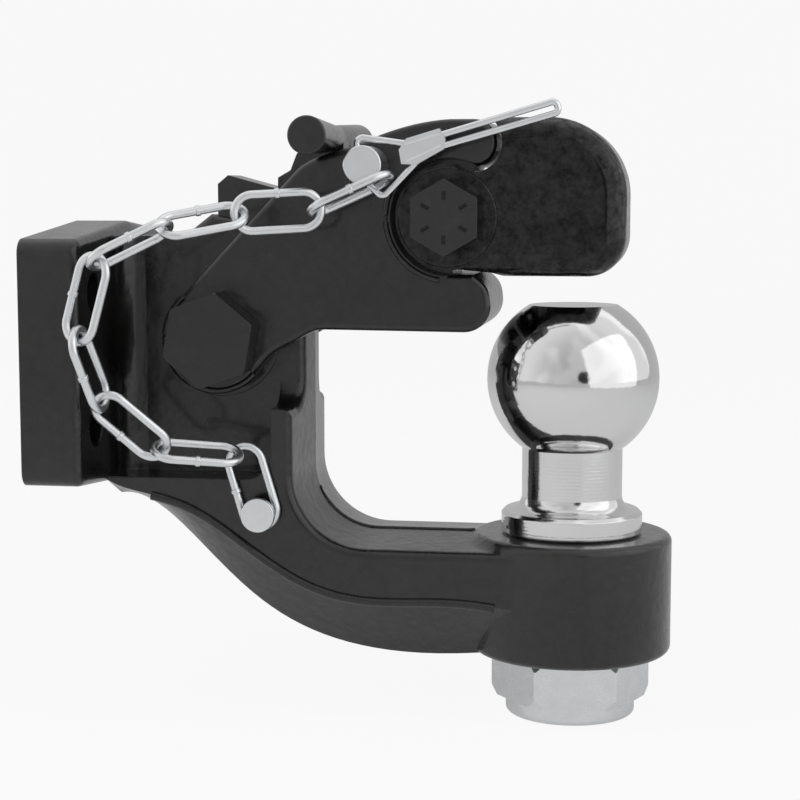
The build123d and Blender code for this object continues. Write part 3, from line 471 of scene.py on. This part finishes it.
def make_pivot_rings(material):
    """The raised ring that the casting keeps round each end of the pivot bolt."""
    bm = bmesh.new()
    for side in (-1, 1):
        path = arc_points(PIVOT_X, side * PIVOT_RING_Y, PIVOT_Z, PIVOT_RING_R, *PIVOT_RING_DEG, steps=60)
        tube(bm, path, PIVOT_RING_THICK_R * MM)
    put("pivot_rings", bm, material, "jaw")


def make_clip_folds(material):
    """The two folds of the pressed clip, laid over the bail's wires."""
    bm = bmesh.new()
    for near, far in CLIP_FOLDS:
        for y in CLIP_FACES_Y:
            start, end = Vector((near[0], y, near[1])) * MM, Vector((far[0], y, far[1])) * MM
            tube(bm, [start, (start + end) / 2, end], CLIP_FOLD_R * MM, sides=8)
    put("clip_folds", bm, material, "bail")


def make_arm_ridges(material):
    """The raised line along the arm's ridges, and the parting line along its keel."""
    tree = BVHTree.FromObject(nodes["hitch_body"], bpy.context.evaluated_depsgraph_get())
    bm = bmesh.new()
    stations = [RIDGE_FROM_X + RIDGE_STEP_X * step for step in range(RIDGE_STEPS)]
    for side in (-1, 1):
        stand_off = Vector((0.0, side * RIDGE_OUT_Y, -RIDGE_DOWN_Z)) * MM
        ridge = []
        for x in stations:
            inside_z = max(INSIDE_ARM_Z - INSIDE_ARM_FALL * (x - INSIDE_ARM_X), INSIDE_ARM_LOW_Z)
            point = point_under(tree, x, side * (ARM_SIDE_Y - RIDGE_INSET_Y), inside_z)
            if point:
                ridge.append(point + stand_off)
        tube(bm, ridge, RIDGE_THICK_R * MM, sides=12)
    keel = [point_under(tree, x, 0.0, INSIDE_KEEL_Z) for x in stations[:KEEL_STEPS]]
    tube(bm, [point for point in keel if point], KEEL_THICK_R * MM, sides=8)
    put("arm_ridge_lines", bm, material, "frame")


def make_lever_spring(material):
    """The spring over the lock lever, copied with a mesh of its own onto the jaw, in place of the solids'
    spring, which is hidden.
    """
    bm = bmesh.new()
    bm.from_mesh(nodes["lock_spring"].data)
    spring = put("lever_spring", bm, material, "jaw")
    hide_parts("lock_spring")
    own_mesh(spring)


# Making the scene

make_camera()
bpy.context.scene.view_settings.view_transform = "Standard"
make_world()
make_stage(stage_white())
make_softbox("key_softbox", place=(-0.45, -0.60, 0.75), target=(0.1, 0.0, -0.02),
             size=(0.8, 0.6), watts=4.2, mirrored=False)
make_softbox("top_strip", place=(0.1, -0.30, 0.75), target=(0.1, 0.0, 0.0),
             size=(0.9, 0.10), watts=3.0, mirrored=False)
make_softbox("right_fill", place=(0.85, -0.40, 0.2), target=(0.12, 0.0, -0.03),
             size=(1.2, 1.2), watts=2.2, mirrored=True)

casting = black_casting("black_casting", pit_depth=0.25, specular=0.46, full_gloss=0.62,
                        pit_gloss=0.20, sheen=0.26, ease=0.0010)
stamping = black_casting("stamped_marks", pit_depth=0.2, specular=0.22, full_gloss=0.22,
                         pit_gloss=0.0, sheen=0.4, ease=0.0002)
rough_casting = black_casting("rough_black_casting", pit_depth=1.0, specular=0.14, full_gloss=0.80,
                              pit_gloss=0.75, sheen=0.24, ease=0.0010)
fasteners = black_hardware()
chrome = ball_chrome()
zinc = zinc_plate("zinc_plate", grain_per_metre=1100.0, sheen=0.34, tint=(0.76, 0.78, 0.80, 1.0))
zinc_nut = zinc_plate("zinc_nut", grain_per_metre=700.0, sheen=0.26, tint=(0.70, 0.72, 0.74, 1.0))
wire = zinc_plate("drawn_wire", grain_per_metre=1600.0, sheen=0.24, tint=(0.76, 0.77, 0.79, 1.0))
nylon = dark_nylon()

dress(casting, "hitch_body", "upper_jaw", "lock_lever")
dress(rough_casting, "jaw_nose")
dress(fasteners, "pivot_bolt", "pivot_washer", "pivot_nut", "jaw_bolt", "jaw_washer", "jaw_nut")
dress(chrome, "tow_ball")
dress(zinc_nut, "ball_nut")
dress(nylon, "ball_nut_insert")
dress(wire, "pin_bail", "lock_spring")
dress(zinc, "safety_pin", "bail_clip", "chain_anchor")
dress(zinc, *[f"chain_link_{number}" for number in range(1, LINK_COUNT + 1)])

make_thread("pivot_bolt_thread", "frame", PIVOT_X, PIVOT_Z, PIVOT_BOLT_D, *PIVOT_THREAD_Y,
            pitch=1.6, material=fasteners)
make_thread("jaw_bolt_thread", "jaw", JAW_BOLT_X, JAW_BOLT_Z, JAW_BOLT_D, *JAW_THREAD_Y,
            pitch=1.5, material=fasteners)
make_head_dashes(stamping)
make_lip_beads(casting)
make_clip_folds(zinc)
make_arm_ridges(casting)
make_pivot_rings(casting)
make_lever_spring(wire)
